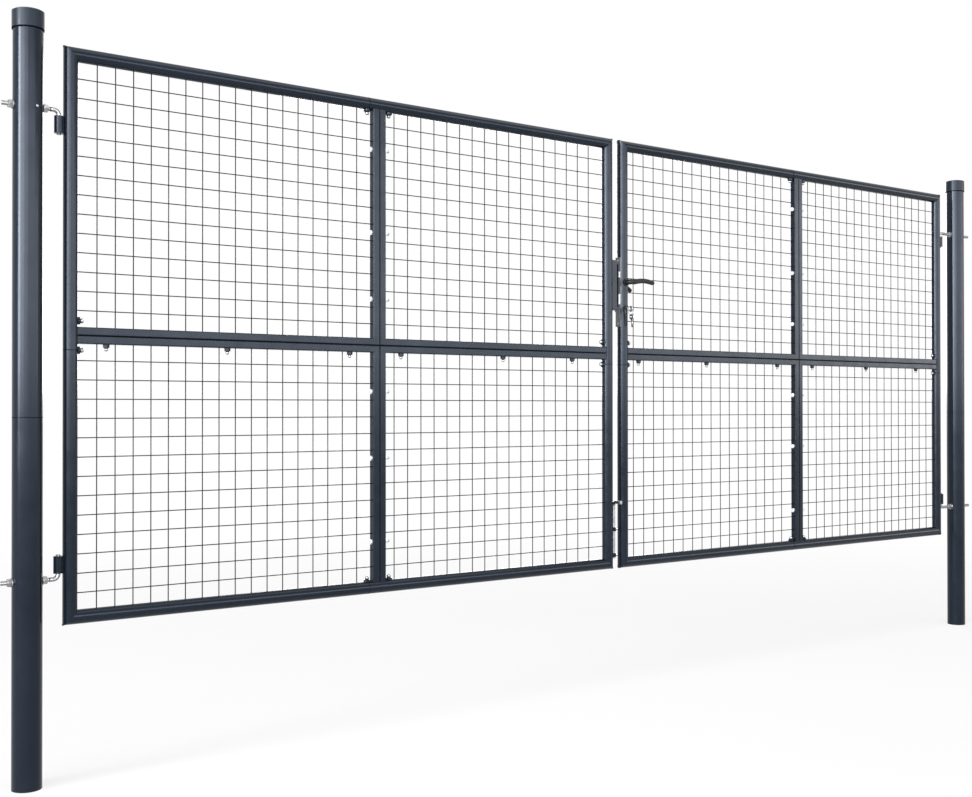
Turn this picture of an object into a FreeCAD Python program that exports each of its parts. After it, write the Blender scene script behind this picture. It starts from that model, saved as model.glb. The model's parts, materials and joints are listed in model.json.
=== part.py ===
import FreeCAD, Part
import math
import os
import Sketcher
from FreeCAD import Placement, Rotation, Vector

# Double mesh garden gate between two round posts, in millimetres, +Z up, +X along the gate

os.makedirs("parts", exist_ok=True)
doc = FreeCAD.newDocument("MeshGate")

# Driving dimensions

SIZES = {
    # posts
    "post_diameter": 76.0,
    "post_wall": 2.0,
    "post_height": 2001.0,
    "post_joint_height": 954.0,
    "cap_skirt": 44.0,
    "cap_wall": 2.5,
    "cap_crown": 3.0,
    # leaves
    "leaf_width": 1930.0,
    "leaf_height": 1520.0,
    "leaf_bottom": 410.0,
    "leaf_gap": 35.0,
    "left_post_gap": 53.0,
    "right_post_gap": 92.0,
    "tube_diameter": 38.0,
    "tube_wall": 1.5,
    "inner_width": 22.0,
    "inner_depth": 25.0,
    "inner_wall": 1.5,
    "inner_corner": 3.0,
    "seam_play": 0.25,
    # welded mesh
    "upright_pitch": 50.0,
    "row_pitch": 51.0,
    "wire_thickness": 3.0,
    "wire_sink": 1.0,
    "row_margin": 40.0,
    "left_leaf_left_margin": 52.0,
    "left_leaf_right_margin": 37.0,
    "right_leaf_left_margin": 34.0,
    "right_leaf_right_margin": 48.0,
    # hinges
    "pin_diameter": 12.0,
    "pin_bend": 14.0,
    "left_pin_thread": 16.0,
    "right_pin_thread": 48.0,
    "pin_reach": 50.0,
    "barrel_diameter": 24.0,
    "barrel_length": 45.0,
    "barrel_play": 0.4,
    "barrel_clearance": 1.0,
    "upper_pin_drop": 172.0,
    "lower_pin_rise": 122.0,
    "nut_thickness": 10.0,
    "nut_corner": 11.0,
    "washer_diameter": 24.0,
    "washer_thickness": 2.5,
    "hole_play": 0.5,
    "cut_overrun": 1.0,
    # lock on the right leaf and its keep on the left leaf
    "lock_height": 1389.0,
    "plate_length": 246.0,
    "plate_width": 24.0,
    "plate_thickness": 3.0,
    "plate_seat": 5.0,
    "latch_height": 1451.0,
    "latch_length": 20.0,
    "bolt_height": 1363.0,
    "bolt_length": 35.0,
    "bolt_width": 12.0,
    "bolt_reach": 3.0,
    "lever_height": 1424.0,
    "lever_diameter": 16.0,
    "lever_neck": 28.0,
    "front_lever_length": 110.0,
    "rear_lever_length": 92.0,
    "lever_bend": 16.0,
    "lever_play": 0.3,
    "rosette_diameter": 26.0,
    "rosette_thickness": 5.0,
    "spindle_width": 8.0,
    "spindle_hole": 12.0,
    "cylinder_height": 1328.0,
    "cylinder_diameter": 17.0,
    "cylinder_reach": 10.0,
    "keep_height": 1411.0,
    "keep_length": 178.0,
    "keep_width": 18.0,
    "keep_thickness": 2.5,
    "keep_clearance": 5.0,
    # drop bolt on the left leaf
    "rod_diameter": 12.0,
    "rod_bottom": 446.0,
    "rod_length": 199.0,
    "rod_bend": 14.0,
    "rod_handle": 40.0,
    "guide_wall": 3.0,
    "guide_length": 14.0,
    "guide_play": 0.4,
    "upper_guide_height": 549.0,
    "lower_guide_height": 458.0,
}

sheet = doc.addObject("Spreadsheet::Sheet", "Sizes")
for row, (alias, value) in enumerate(SIZES.items(), start=1):
    sheet.set(f"A{row}", alias)
    sheet.set(f"B{row}", str(value))
    sheet.setAlias(f"B{row}", alias)
doc.recompute()

TUBE_RADIUS = "Sizes.tube_diameter / 2"
LEAF_MIDDLE_Z = "(Sizes.leaf_bottom + Sizes.leaf_height / 2)"
LEAF_TOP = "(Sizes.leaf_bottom + Sizes.leaf_height)"
RAIL_LEVEL = "(Sizes.leaf_height / 2 - Sizes.tube_diameter / 2)"
STILE_REACH = "(Sizes.leaf_width / 2 - Sizes.tube_diameter / 2)"
INNER_MIDDLE = "(Sizes.seam_play + Sizes.inner_width / 2)"
INNER_EDGE = "(Sizes.seam_play + Sizes.inner_width)"
LEAF_START = "(Sizes.post_diameter / 2 + Sizes.left_post_gap)"
LEFT_MIDDLE_X = f"({LEAF_START} + Sizes.leaf_width / 2)"
RIGHT_MIDDLE_X = f"({LEAF_START} + Sizes.leaf_width * 1.5 + Sizes.leaf_gap)"
GAP_LEFT = f"({LEAF_START} + Sizes.leaf_width)"
GAP_RIGHT = f"({GAP_LEFT} + Sizes.leaf_gap)"
LEAF_END = f"({GAP_RIGHT} + Sizes.leaf_width)"
POST_SPAN = f"({LEAF_END} + Sizes.right_post_gap + Sizes.post_diameter / 2)"
LEFT_HINGE = f"({LEAF_START} - Sizes.barrel_diameter / 2)"
RIGHT_HINGE = f"({LEAF_END} + Sizes.barrel_diameter / 2)"
UPPER_PIN = f"({LEAF_TOP} - Sizes.upper_pin_drop)"
LOWER_PIN = "(Sizes.leaf_bottom + Sizes.lower_pin_rise)"

HALF_TURN_X = Rotation(Vector(1, 0, 0), 180)
HALF_TURN_Y = Rotation(Vector(0, 1, 0), 180)
HALF_TURN_Z = Rotation(Vector(0, 0, 1), 180)
NO_TURN = Rotation()
ALONG_X = Rotation(Vector(0, 1, 0), 90)
ALONG_Y = Rotation(Vector(1, 0, 0), -90)
MITRE_TURN = Rotation(Vector(0, 1, 0), 45)

nodes = []


# Helpers

def bind(item, **expressions):
    """Bind plain properties of an object to spreadsheet expressions."""
    for name, text in expressions.items():
        item.setExpression(name, text)


def place(item, x="0", y="0", z="0", turn=NO_TURN):
    """Put an object at a bound position with a fixed turn."""
    item.Placement = Placement(Vector(), turn)
    for axis, text in (("x", x), ("y", y), ("z", z)):
        item.setExpression(f"Placement.Base.{axis}", text)


def node(item, label):
    """Give a finished sub-part its label, which names its file."""
    item.Label = label
    nodes.append(item)
    return item


def cylinder(name, radius, height, x="0", y="0", z="0", turn=NO_TURN):
    item = doc.addObject("Part::Cylinder", name)
    bind(item, Radius=radius, Height=height)
    place(item, x, y, z, turn)
    return item


def box(name, length, width, height, x="0", y="0", z="0"):
    item = doc.addObject("Part::Box", name)
    bind(item, Length=length, Width=width, Height=height)
    place(item, x, y, z)
    return item


def cut(name, base, tools):
    """Cut one object by one or more others."""
    tool = tools[0]
    if len(tools) > 1:
        tool = doc.addObject("Part::MultiFuse", name + "_tools")
        tool.Shapes = tools
    item = doc.addObject("Part::Cut", name)
    item.Base = base
    item.Tool = tool
    return item


def fuse(name, shapes):
    item = doc.addObject("Part::MultiFuse", name)
    item.Shapes = shapes
    return item


def gather(name, shapes):
    """Like pieces that share one node as solids that don't touch."""
    item = doc.addObject("Part::Compound", name)
    item.Links = shapes
    return item


def sketch_on(body, role, name, offset=None):
    """A sketch on one of the body's own origin planes, moved along its normal if asked."""
    sketch = body.newObject("Sketcher::SketchObject", name)
    planes = [item for item in body.Origin.OriginFeatures if item.Role == role]
    sketch.AttachmentSupport = (planes[0], [""])
    sketch.MapMode = "FlatFace"
    if offset:
        sketch.setExpression("AttachmentOffset.Base.z", offset)
    return sketch


def number_of(item, text):
    """The value of an expression, used to draw geometry where its constraints will hold it."""
    value = item.evalExpression(text)
    return getattr(value, "Value", value)


def pin_coordinate(sketch, kind, geometry, vertex, text):
    """Fix one coordinate of a sketch point by a bound DistanceX or DistanceY."""
    value = number_of(sketch, text)
    number = sketch.addConstraint(Sketcher.Constraint(kind, -1, 1, geometry, vertex, value))
    sketch.setExpression(f"Constraints[{number}]", text)


def pin_point(sketch, geometry, vertex, across, up):
    """Fix one point of a sketch at bound coordinates."""
    pin_coordinate(sketch, "DistanceX", geometry, vertex, across)
    pin_coordinate(sketch, "DistanceY", geometry, vertex, up)


def outline(sketch, points):
    """A closed polyline through bound points."""
    spots = [Vector(number_of(sketch, across), number_of(sketch, up), 0) for across, up in points]
    lines = []
    for start, end in zip(spots, spots[1:] + spots[:1]):
        lines.append(sketch.addGeometry(Part.LineSegment(start, end)))
    for line, (across, up) in zip(lines, points):
        pin_point(sketch, line, 1, across, up)
    for line, following in zip(lines, lines[1:] + lines[:1]):
        sketch.addConstraint(Sketcher.Constraint("Coincident", line, 2, following, 1))


def ring(sketch, radius, across="0", up="0"):
    """A circle with a bound centre and radius."""
    value = number_of(sketch, radius)
    centre = Vector(number_of(sketch, across), number_of(sketch, up), 0)
    circle = sketch.addGeometry(Part.Circle(centre, Vector(0, 0, 1), value))
    pin_point(sketch, circle, 3, across, up)
    number = sketch.addConstraint(Sketcher.Constraint("Radius", circle, value))
    sketch.setExpression(f"Constraints[{number}]", radius)


def elbow_spine(sketch, legs, bend):
    """An L-shaped open line, along +X then down, with a bound bend radius."""
    across, down = legs
    run = f"({across}) - ({bend})"
    drop = f"-({bend})"
    start = Vector(0, 0, 0)
    first = Vector(number_of(sketch, run), 0, 0)
    second = Vector(number_of(sketch, across), number_of(sketch, drop), 0)
    last = Vector(number_of(sketch, across), number_of(sketch, f"-({down})"), 0)
    radius = number_of(sketch, bend)
    centre = Vector(first.x, -radius, 0)
    quarter = Part.ArcOfCircle(Part.Circle(centre, Vector(0, 0, 1), radius), 0, math.pi / 2)
    line = sketch.addGeometry(Part.LineSegment(start, first))
    arc = sketch.addGeometry(quarter)
    leg = sketch.addGeometry(Part.LineSegment(second, last))
    sketch.addConstraint(Sketcher.Constraint("Coincident", line, 1, -1, 1))
    sketch.addConstraint(Sketcher.Constraint("Horizontal", line))
    sketch.addConstraint(Sketcher.Constraint("Vertical", leg))
    sketch.addConstraint(Sketcher.Constraint("Tangent", line, 2, arc, 2))
    sketch.addConstraint(Sketcher.Constraint("Tangent", arc, 1, leg, 1))
    pin_point(sketch, leg, 2, across, f"-({down})")
    number = sketch.addConstraint(Sketcher.Constraint("Radius", arc, radius))
    sketch.setExpression(f"Constraints[{number}]", bend)


# Posts, made of two tubes each, with a plastic cap

def post_tube(name, x, bottom, top, pin_height):
    """One length of post tube with the hinge pin's hole through it."""
    height = f"{top} - ({bottom})"
    outer = cylinder(name + "_outside", "Sizes.post_diameter / 2", height, x, z=bottom)
    inner = cylinder(name + "_inside", "Sizes.post_diameter / 2 - Sizes.post_wall", height, x, z=bottom)
    radius = "(Sizes.pin_diameter + Sizes.hole_play) / 2"
    start = f"{x} - Sizes.post_diameter / 2 - Sizes.cut_overrun"
    length = "Sizes.post_diameter + 2 * Sizes.cut_overrun"
    hole = cylinder(name + "_hole", radius, length, start, z=pin_height, turn=ALONG_X)
    node(cut(name, outer, [inner, hole]), name)


def post_cap(name, x):
    """A cap that slips over the tube, with a shallow crown."""
    body = doc.addObject("PartDesign::Body", name)
    sketch = sketch_on(body, "XZ_Plane", name + "_profile")
    inside = "Sizes.post_diameter / 2"
    outside = f"{inside} + Sizes.cap_wall"
    outline(sketch, [
        ("0", "0"),
        (inside, "0"),
        (inside, "-Sizes.cap_skirt"),
        (outside, "-Sizes.cap_skirt"),
        (outside, "0"),
        (f"{inside} - Sizes.cap_wall", "Sizes.cap_crown"),
        ("0", "Sizes.cap_crown"),
    ])
    turned = body.newObject("PartDesign::Revolution", name + "_turned")
    turned.Profile = sketch
    turned.ReferenceAxis = (sketch, ["V_Axis"])
    turned.Angle = 360.0
    body.Tip = turned
    place(body, x, z="Sizes.post_height")
    node(body, name)


# Quarter frames, drawn from the leaf's middle towards its upper right corner

def mitre(name, across, up, below):
    """A block on one side of the 45 degree plane through a corner of the tubes."""
    size = "(4 * Sizes.tube_diameter)"
    step = f"({size} * cos(45))"
    if below:
        x, z = f"{across} - {step} / 2", f"{up} - {step} / 2"
    else:
        x, z = f"{across} - 1.5 * {step}", f"{up} + {step} / 2"
    block = box(name, size, size, size, x, f"-{size} / 2", z)
    block.Placement.Rotation = MITRE_TURN
    return block


def outer_tube(name, upright):
    """A round tube from the leaf's middle to the mitre at its corner."""
    if upright:
        spot = {"x": STILE_REACH}
        height = f"{RAIL_LEVEL} + {TUBE_RADIUS}"
    else:
        spot = {"z": RAIL_LEVEL, "turn": ALONG_X}
        height = f"{STILE_REACH} + {TUBE_RADIUS}"
    outer = cylinder(name + "_outside", TUBE_RADIUS, height, **spot)
    inner = cylinder(name + "_inside", f"{TUBE_RADIUS} - Sizes.tube_wall", height, **spot)
    corner = mitre(name + "_mitre", STILE_REACH, RAIL_LEVEL, not upright)
    return cut(name, outer, [inner, corner])


def inner_tube(name, upright):
    """A box tube from the mitre at the leaf's middle to its coped end on the outer tube."""
    body = doc.addObject("PartDesign::Body", name + "_body")
    depth = "Sizes.inner_depth"
    width = "Sizes.inner_width"
    hollow_depth = f"({depth} - 2 * Sizes.inner_wall)"
    hollow_width = f"({width} - 2 * Sizes.inner_wall)"
    hollow_corner = "(Sizes.inner_corner - Sizes.inner_wall)"
    if upright:
        profile = sketch_on(body, "XY_Plane", name + "_box")
        rounded_box(profile, INNER_MIDDLE, "0", width, depth, "Sizes.inner_corner")
        rounded_box(profile, INNER_MIDDLE, "0", hollow_width, hollow_depth, hollow_corner)
        length = f"{RAIL_LEVEL} - {TUBE_RADIUS} / 2"
        cope = cylinder(name + "_cope", TUBE_RADIUS, STILE_REACH, z=RAIL_LEVEL, turn=ALONG_X)
    else:
        profile = sketch_on(body, "YZ_Plane", name + "_box")
        rounded_box(profile, "0", INNER_MIDDLE, depth, width, "Sizes.inner_corner")
        rounded_box(profile, "0", INNER_MIDDLE, hollow_depth, hollow_width, hollow_corner)
        length = f"{STILE_REACH} - {TUBE_RADIUS} / 2"
        cope = cylinder(name + "_cope", TUBE_RADIUS, RAIL_LEVEL, x=STILE_REACH)
    pad = body.newObject("PartDesign::Pad", name + "_pad")
    pad.Profile = profile
    bind(pad, Length=length)
    body.Tip = pad
    corner = mitre(name + "_mitre", INNER_MIDDLE, INNER_MIDDLE, upright)
    return cut(name, body, [cope, corner])


def rounded_box(sketch, across, up, width, depth, corner):
    """A rectangle with rounded corners, centred at (across, up)."""
    low = f"({across} - {width} / 2)"
    high = f"({across} + {width} / 2)"
    front = f"({up} - {depth} / 2)"
    back = f"({up} + {depth} / 2)"
    radius = number_of(sketch, corner)
    sides = [
        ((f"{low} + {corner}", front), (f"{high} - {corner}", front)),
        ((high, f"{front} + {corner}"), (high, f"{back} - {corner}")),
        ((f"{high} - {corner}", back), (f"{low} + {corner}", back)),
        ((low, f"{back} - {corner}"), (low, f"{front} + {corner}")),
    ]
    lines = []
    for start, end in sides:
        spots = [Vector(number_of(sketch, x), number_of(sketch, y), 0) for x, y in (start, end)]
        line = sketch.addGeometry(Part.LineSegment(*spots))
        pin_point(sketch, line, 1, *start)
        pin_point(sketch, line, 2, *end)
        lines.append(line)
    centres = [
        (f"{high} - {corner}", f"{front} + {corner}", -90),
        (f"{high} - {corner}", f"{back} - {corner}", 0),
        (f"{low} + {corner}", f"{back} - {corner}", 90),
        (f"{low} + {corner}", f"{front} + {corner}", 180),
    ]
    for number, (across, up, angle) in enumerate(centres):
        centre = Vector(number_of(sketch, across), number_of(sketch, up), 0)
        circle = Part.Circle(centre, Vector(0, 0, 1), radius)
        start = math.radians(angle)
        arc = sketch.addGeometry(Part.ArcOfCircle(circle, start, start + math.pi / 2))
        sketch.addConstraint(Sketcher.Constraint("Coincident", lines[number], 2, arc, 1))
        sketch.addConstraint(Sketcher.Constraint("Coincident", arc, 2, lines[(number + 1) % 4], 1))
        pin_coordinate(sketch, "DistanceX", arc, 3, across)


# Welded mesh: thin bars in two layers, fused where they cross

def fitting_wires(clear, margin, pitch):
    """How many wires a clear length takes with at least the given margin at both ends."""
    return math.floor(number_of(sheet, f"({clear} - 2 * {margin}) / {pitch}")) + 1


def mesh(name, middle_x, side, level, margin):
    """The mesh of one quarter: side and level are 1 or -1 from the leaf's middle."""
    clear_width = f"(Sizes.leaf_width / 2 - Sizes.tube_diameter - {INNER_EDGE})"
    clear_height = f"(Sizes.leaf_height / 2 - Sizes.tube_diameter - {INNER_EDGE})"
    wire = "Sizes.wire_thickness"
    left = f"{middle_x} + {INNER_EDGE}" if side > 0 else f"{middle_x} - {INNER_EDGE} - {clear_width}"
    low_step = INNER_EDGE if level > 0 else f"(-{INNER_EDGE} - {clear_height})"
    low = f"({LEAF_MIDDLE_Z} + {low_step})"
    wires_across = fitting_wires(clear_width, margin, "Sizes.upright_pitch")
    wires_up = fitting_wires(clear_height, "Sizes.row_margin", "Sizes.row_pitch")
    lowest = f"({clear_height} - {wires_up - 1} * Sizes.row_pitch) / 2"
    front = f"-{wire} + Sizes.wire_sink / 2"
    back = "-Sizes.wire_sink / 2"
    bars = []
    for number in range(wires_across):
        x = f"{left} + {margin} + {number} * Sizes.upright_pitch - {wire} / 2"
        bars.append(box(f"{name}_upright_{number}", wire, wire, clear_height, x, back, low))
    for number in range(wires_up):
        z = f"{low} + {lowest} + {number} * Sizes.row_pitch - {wire} / 2"
        bars.append(box(f"{name}_row_{number}", clear_width, wire, wire, left, front, z))
    node(fuse(name, bars), name)


# Hinges: a bent threaded pin through the post, and a barrel welded to the stile

def bent_rod(name, diameter, legs, bend, spot, turn):
    """A round rod along local +X that bends towards local -Z."""
    body = doc.addObject("PartDesign::Body", name)
    profile = sketch_on(body, "YZ_Plane", name + "_round")
    ring(profile, f"{diameter} / 2")
    spine = sketch_on(body, "XZ_Plane", name + "_spine")
    elbow_spine(spine, legs, bend)
    sweep = body.newObject("PartDesign::AdditivePipe", name + "_bent")
    sweep.Profile = profile
    sweep.Spine = spine
    sweep.Transition = "Transformed"
    body.Tip = sweep
    place(body, *spot, turn=turn)
    return body


def hinge_pin(name, x, hinge_x, z, thread, outward, turn):
    """The pin starts outside the post, runs through it and bends into the barrel."""
    start = f"(Sizes.post_diameter / 2 + Sizes.washer_thickness + Sizes.nut_thickness + {thread})"
    legs = (f"{start} + {outward} * ({hinge_x} - {x})", "Sizes.pin_bend + Sizes.pin_reach")
    spot = (f"{x} - {outward} * {start}", "0", z)
    return bent_rod(name, "Sizes.pin_diameter", legs, "Sizes.pin_bend", spot, turn)


def flange_nut(name, x, z, outward):
    """A hexagon nut and its washer on the pin, against the post."""
    bore = "Sizes.pin_diameter / 2"
    length = "(Sizes.washer_thickness + Sizes.nut_thickness)"
    face = f"{x} + {outward} * Sizes.post_diameter / 2"
    turn = ALONG_X if outward > 0 else Rotation(Vector(0, 1, 0), -90)
    washer = cylinder(name + "_washer", "Sizes.washer_diameter / 2", "Sizes.washer_thickness", face, z=z, turn=turn)
    hexagon = doc.addObject("Part::Prism", name + "_hexagon")
    hexagon.Polygon = 6
    bind(hexagon, Circumradius="Sizes.nut_corner", Height=length)
    place(hexagon, face, z=z, turn=turn)
    hole = cylinder(name + "_bore", bore, length, face, z=z, turn=turn)
    return cut(name, fuse(name + "_solid", [washer, hexagon]), [hole])


def barrels(name, x):
    """The two barrels that turn on the pins."""
    pieces = []
    clear = "Sizes.pin_bend + Sizes.barrel_clearance"
    starts = {
        "upper": f"{UPPER_PIN} - ({clear}) - Sizes.barrel_length",
        "lower": f"{LOWER_PIN} + {clear}",
    }
    for level, z in starts.items():
        piece = name + "_" + level
        outer = cylinder(piece + "_outside", "Sizes.barrel_diameter / 2", "Sizes.barrel_length", x, z=z)
        radius = "Sizes.pin_diameter / 2 + Sizes.barrel_play"
        inner = cylinder(piece + "_inside", radius, "Sizes.barrel_length", x, z=z)
        pieces.append(cut(piece, outer, [inner]))
    node(gather(name, pieces), name)


# Lock on the right leaf's free stile

STILE_X = f"({GAP_RIGHT} + {TUBE_RADIUS})"


def stile_rod(name, x):
    """A plain cylinder the size of the stile, used to seat pieces on it."""
    return cylinder(name, TUBE_RADIUS, "Sizes.leaf_height", x, z="Sizes.leaf_bottom")


def faceplate():
    name = "lock_faceplate"
    depth = "Sizes.plate_thickness + Sizes.plate_seat"
    z = "Sizes.lock_height - Sizes.plate_length / 2"
    x = f"{GAP_RIGHT} - Sizes.plate_thickness"
    plate = box(name + "_blank", depth, "Sizes.plate_width", "Sizes.plate_length", x, "-Sizes.plate_width / 2", z)
    node(cut(name, plate, [stile_rod(name + "_stile", STILE_X)]), name)


def latch_and_bolt():
    pieces = []
    x = f"{GAP_RIGHT} - Sizes.plate_thickness - Sizes.bolt_reach"
    for name, height, length in (("latch", "Sizes.latch_height", "Sizes.latch_length"),
                                 ("dead_bolt", "Sizes.bolt_height", "Sizes.bolt_length")):
        z = f"{height} - {length} / 2"
        pieces.append(box(name, "Sizes.bolt_reach", "Sizes.bolt_width", length, x, "-Sizes.bolt_width / 2", z))
    node(gather("latch_and_dead_bolt", pieces), "latch_and_dead_bolt")


def rosettes(label, height, bore):
    """Round plates front and back of the stile that carry the lever or the lock cylinder."""
    pieces = []
    for side, turn in (("front", Rotation(Vector(1, 0, 0), 90)), ("back", ALONG_Y)):
        name = f"{label}_{side}"
        reach = f"{TUBE_RADIUS} + Sizes.rosette_thickness"
        disc = cylinder(name + "_disc", "Sizes.rosette_diameter / 2", reach, STILE_X, z=height, turn=turn)
        hole = cylinder(name + "_bore", bore, reach, STILE_X, z=height, turn=turn)
        pieces.append(cut(name, disc, [hole, stile_rod(name + "_stile", STILE_X)]))
    return pieces


NECK_START = f"({TUBE_RADIUS} + Sizes.lever_play)"


def lever(name, side, turn):
    """A round lever: a neck out of its rosette, a bend and a straight grip along +X."""
    legs = ("Sizes.lever_neck", f"Sizes.{name}_length")
    spot = (STILE_X, f"{side} * {NECK_START}", "Sizes.lever_height")
    node(bent_rod(name, "Sizes.lever_diameter", legs, "Sizes.lever_bend", spot, turn), name)


def spindle():
    """The square bar through the stile that joins the two levers."""
    half = "Sizes.spindle_width / 2"
    item = box("lever_spindle", "Sizes.spindle_width", f"2 * {NECK_START}", "Sizes.spindle_width",
               f"{STILE_X} - {half}", f"-{NECK_START}", f"Sizes.lever_height - {half}")
    node(item, "lever_spindle")


def lock_cylinder():
    """The key cylinder through the stile, flush in both of its rosettes."""
    reach = f"({TUBE_RADIUS} + Sizes.rosette_thickness + Sizes.cylinder_reach)"
    item = cylinder("lock_cylinder", "Sizes.cylinder_diameter / 2", f"2 * {reach}",
                    STILE_X, f"-{reach}", "Sizes.cylinder_height", ALONG_Y)
    node(item, "lock_cylinder")


# Keep on the left leaf's free stile, an angle that the right leaf closes against

def keep():
    name = "lock_keep"
    z = "Sizes.keep_height - Sizes.keep_length / 2"
    front = "-(Sizes.bolt_width / 2 + Sizes.keep_clearance + Sizes.keep_thickness)"
    web_x = f"{GAP_LEFT} - {TUBE_RADIUS}"
    web_length = f"{TUBE_RADIUS} + Sizes.keep_thickness"
    web = box(name + "_web", web_length, "Sizes.keep_width", "Sizes.keep_length", web_x, front, z)
    flange = box(name + "_flange", "Sizes.keep_width", "Sizes.keep_thickness", "Sizes.keep_length",
                 GAP_LEFT, front, z)
    tools = [stile_rod(name + "_stile", f"{GAP_LEFT} - {TUBE_RADIUS}")]
    node(cut(name, fuse(name + "_angle", [web, flange]), tools), name)


# Drop bolt on the left leaf's free stile

ROD_X = f"({GAP_LEFT} + Sizes.rod_diameter / 2 + Sizes.guide_play + Sizes.guide_wall)"


def drop_bolt():
    """A bent rod: a handle towards the front and the bolt pointing down."""
    spot = (ROD_X, "-Sizes.rod_handle", "Sizes.rod_bottom + Sizes.rod_length")
    turn = Rotation(Vector(0, 0, 1), 90)
    legs = ("Sizes.rod_handle", "Sizes.rod_length")
    rod = bent_rod("drop_bolt_rod", "Sizes.rod_diameter", legs, "Sizes.rod_bend", spot, turn)
    node(rod, "drop_bolt_rod")


def guides():
    pieces = []
    bore = "(Sizes.rod_diameter / 2 + Sizes.guide_play)"
    for level in ("upper", "lower"):
        name = f"{level}_guide"
        z = f"Sizes.{level}_guide_height - Sizes.guide_length / 2"
        outer = cylinder(name + "_outside", f"{bore} + Sizes.guide_wall", "Sizes.guide_length", ROD_X, z=z)
        inner = cylinder(name + "_inside", bore, "Sizes.guide_length", ROD_X, z=z)
        pieces.append(cut(name, outer, [inner]))
    node(gather("drop_bolt_guides", pieces), "drop_bolt_guides")


# Assembly

def posts():
    for side, x, hinge_x, outward in (("left", "0", LEFT_HINGE, 1), ("right", POST_SPAN, RIGHT_HINGE, -1)):
        post_tube(f"{side}_post_lower", x, "0", "Sizes.post_joint_height", LOWER_PIN)
        post_tube(f"{side}_post_upper", x, "Sizes.post_joint_height", "Sizes.post_height", UPPER_PIN)
        post_cap(f"{side}_post_cap", x)
        turns = {"upper": NO_TURN, "lower": HALF_TURN_X}
        if outward < 0:
            turns = {"upper": HALF_TURN_Z, "lower": HALF_TURN_Y}
        pins = []
        nuts = []
        for level, z in (("upper", UPPER_PIN), ("lower", LOWER_PIN)):
            thread = f"Sizes.{side}_pin_thread"
            pin = f"{side}_{level}_hinge_pin"
            pins.append(hinge_pin(pin, x, hinge_x, z, thread, outward, turns[level]))
            nuts.append(flange_nut(f"{side}_{level}_outer_nut", x, z, -outward))
            nuts.append(flange_nut(f"{side}_{level}_inner_nut", x, z, outward))
        node(gather(f"{side}_hinge_pins", pins), f"{side}_hinge_pins")
        node(gather(f"{side}_hinge_nuts", nuts), f"{side}_hinge_nuts")


def lock_holes(name):
    """Holes through the stile for the spindle and the lock cylinder."""
    start = f"-{TUBE_RADIUS} - Sizes.cut_overrun"
    length = "Sizes.tube_diameter + 2 * Sizes.cut_overrun"
    spindle_hole = cylinder(name + "_spindle", "Sizes.spindle_hole / 2", length,
                            STILE_X, start, "Sizes.lever_height", ALONG_Y)
    lock_hole = cylinder(name + "_cylinder", "Sizes.cylinder_diameter / 2", length,
                         STILE_X, start, "Sizes.cylinder_height", ALONG_Y)
    return [spindle_hole, lock_hole]


QUARTERS = {
    ("upper", "left"): HALF_TURN_Z,
    ("upper", "right"): NO_TURN,
    ("lower", "left"): HALF_TURN_Y,
    ("lower", "right"): HALF_TURN_X,
}


def leaf(name, middle_x):
    """Four quarters of tubes and mesh, with like tubes of opposite quarters gathered in one node."""
    groups = {}
    for (level, side), turn in QUARTERS.items():
        quarter = f"{name}_{level}_{side}"
        tubes = {
            f"{name}_outer_rails_{side}": outer_tube(quarter + "_outer_rail", False),
            f"{name}_outer_stiles_{level}": outer_tube(quarter + "_outer_stile", True),
            f"{name}_inner_rails_{level}": inner_tube(quarter + "_inner_rail", False),
            f"{name}_inner_uprights_{side}": inner_tube(quarter + "_inner_upright", True),
        }
        for label, tube in tubes.items():
            place(tube, middle_x, z=LEAF_MIDDLE_Z, turn=turn)
            if tube.Name == "right_leaf_upper_left_outer_stile":
                tube = cut(quarter + "_lock_stile", tube, lock_holes(quarter + "_hole"))
            groups.setdefault(label, []).append(tube)
        mesh(f"{name}_mesh_{level}_{side}", middle_x, 1 if side == "right" else -1,
             1 if level == "upper" else -1, f"Sizes.{name}_{side}_margin")
    for label, tubes in groups.items():
        node(gather(label, tubes), label)


posts()
leaf("left_leaf", LEFT_MIDDLE_X)
leaf("right_leaf", RIGHT_MIDDLE_X)
barrels("left_leaf_hinge_barrels", LEFT_HINGE)
barrels("right_leaf_hinge_barrels", RIGHT_HINGE)
keep()
guides()
drop_bolt()
faceplate()
latch_and_bolt()
lever_plates = rosettes("lever_rosette", "Sizes.lever_height", "Sizes.lever_diameter / 2 + Sizes.lever_play")
cylinder_plates = rosettes("cylinder_rosette", "Sizes.cylinder_height", "Sizes.cylinder_diameter / 2")
node(gather("lock_rosettes", lever_plates + cylinder_plates), "lock_rosettes")
lever("front_lever", -1, Rotation(Vector(0, -1, 0), Vector(0, 0, 1), Vector(-1, 0, 0), "ZXY"))
lever("rear_lever", 1, Rotation(Vector(0, 1, 0), Vector(0, 0, -1), Vector(-1, 0, 0), "ZXY"))
spindle()
lock_cylinder()

doc.recompute()

# Checks and export

for item in doc.Objects:
    if "Invalid" in item.State or "Error" in item.State:
        raise RuntimeError(f"{item.Label} is {item.State}: {item.getStatusString()}")

for item in nodes:
    if item.Shape.isNull() or not item.Shape.isValid():
        raise RuntimeError(f"{item.Label} has no valid shape")
    item.Shape.exportStep(os.path.join("parts", item.Label + ".step"))
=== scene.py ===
import json
import math

import bmesh
import bpy
from mathutils import Matrix, Vector


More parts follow.
